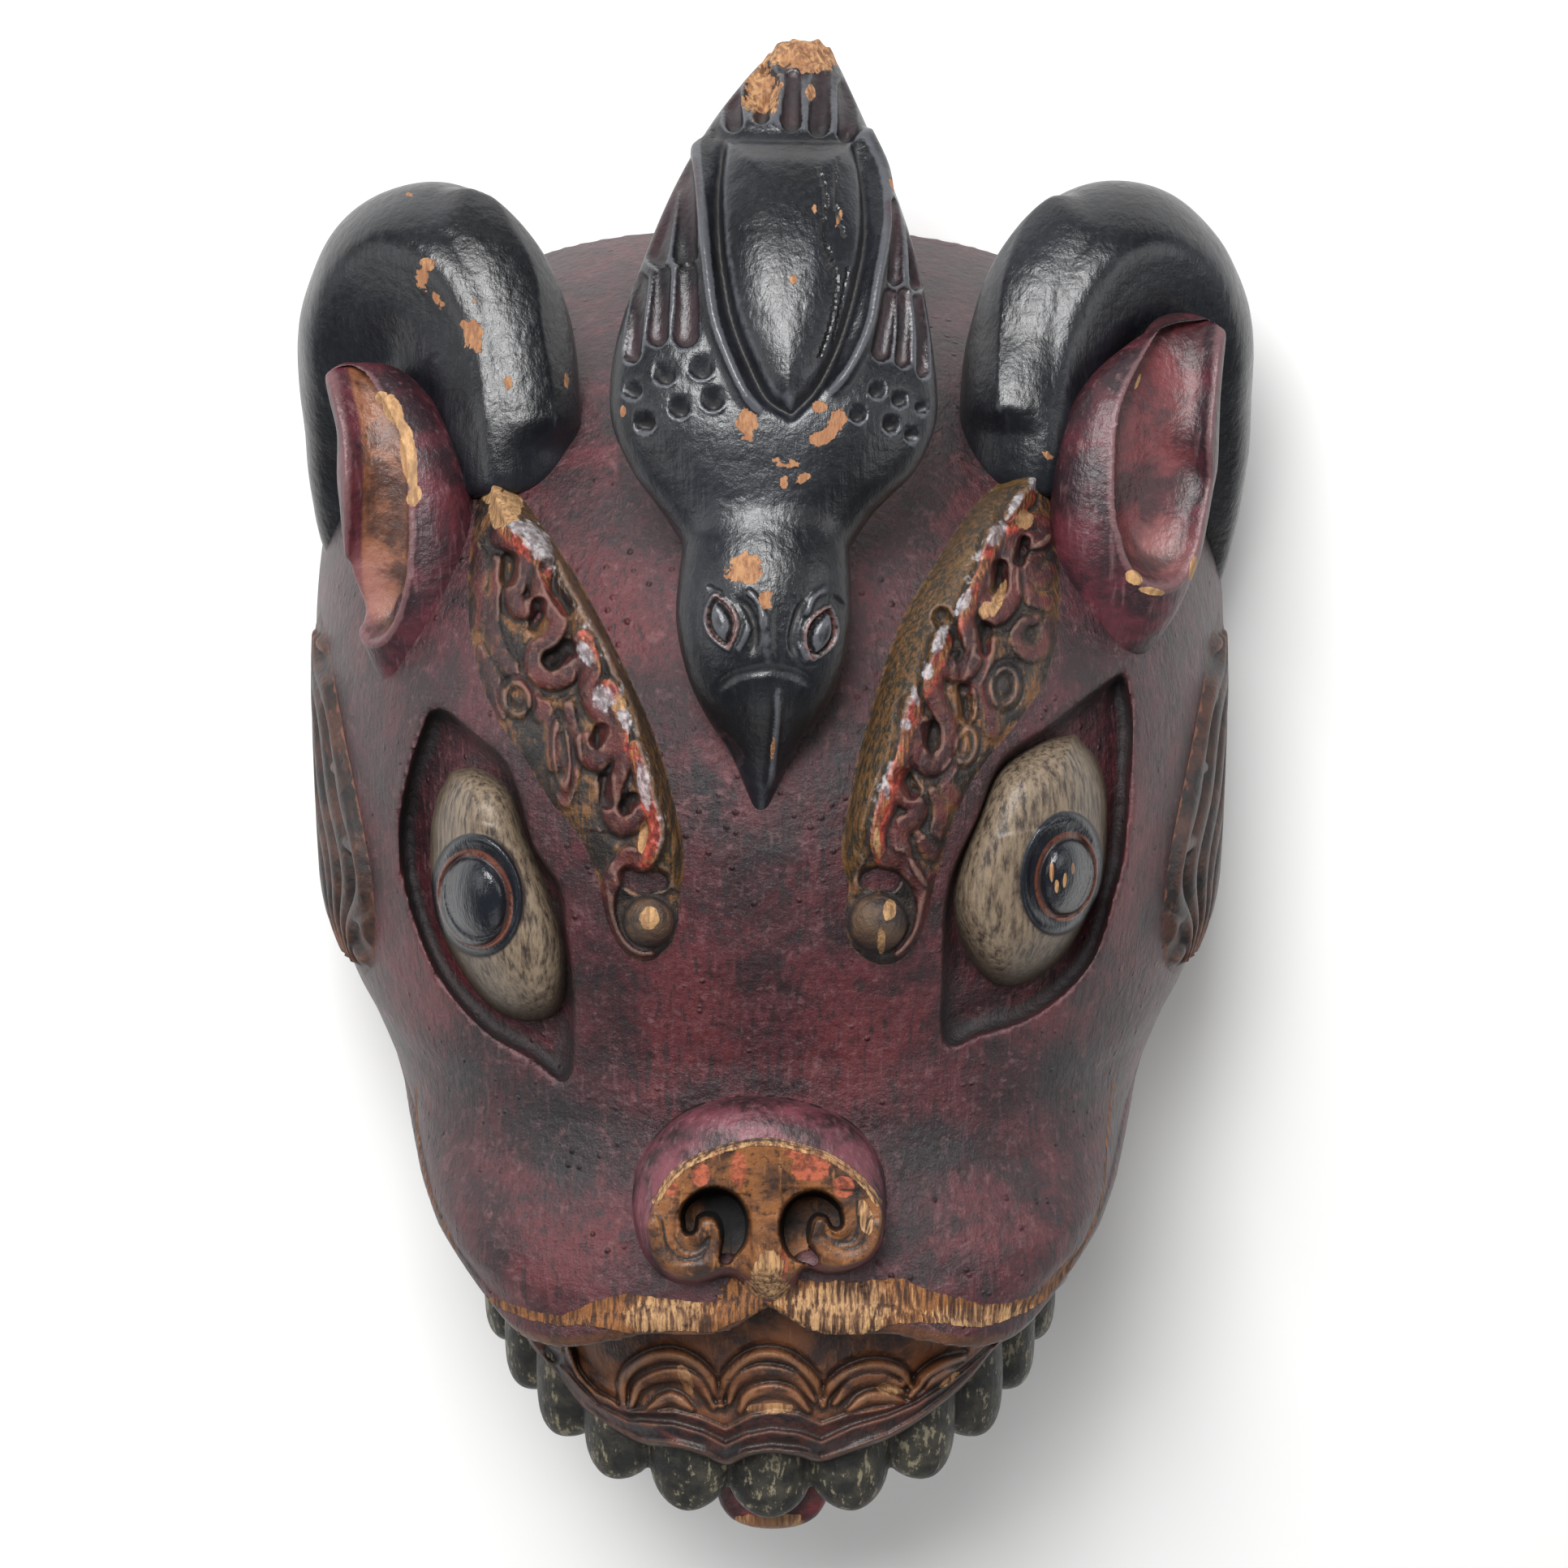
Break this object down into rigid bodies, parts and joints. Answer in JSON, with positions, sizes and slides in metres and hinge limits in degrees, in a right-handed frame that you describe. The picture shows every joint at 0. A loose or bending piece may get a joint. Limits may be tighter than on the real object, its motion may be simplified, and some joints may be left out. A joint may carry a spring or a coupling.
{
  "type": "wooden mask",
  "caption": "Carved and painted wooden helmet mask of a horned animal with a bird lying head down on its brow, hollow and open at the back rim.",
  "frame": {"origin": "under the middle of the mask's outline, on the plane of its back rim", "axes": "+Z out of the face, away from the back rim; +Y up the face towards the crown; +X to the right of a viewer who looks at the face"},
  "size_m": [0.2616, 0.4158, 0.2088],
  "materials": {
    "painted_wood": "worn maroon and black paint over carved wood, satin"
  },
  "bodies": {
    "root": {"mask": "painted_wood"}
  },
  "joints": []
}
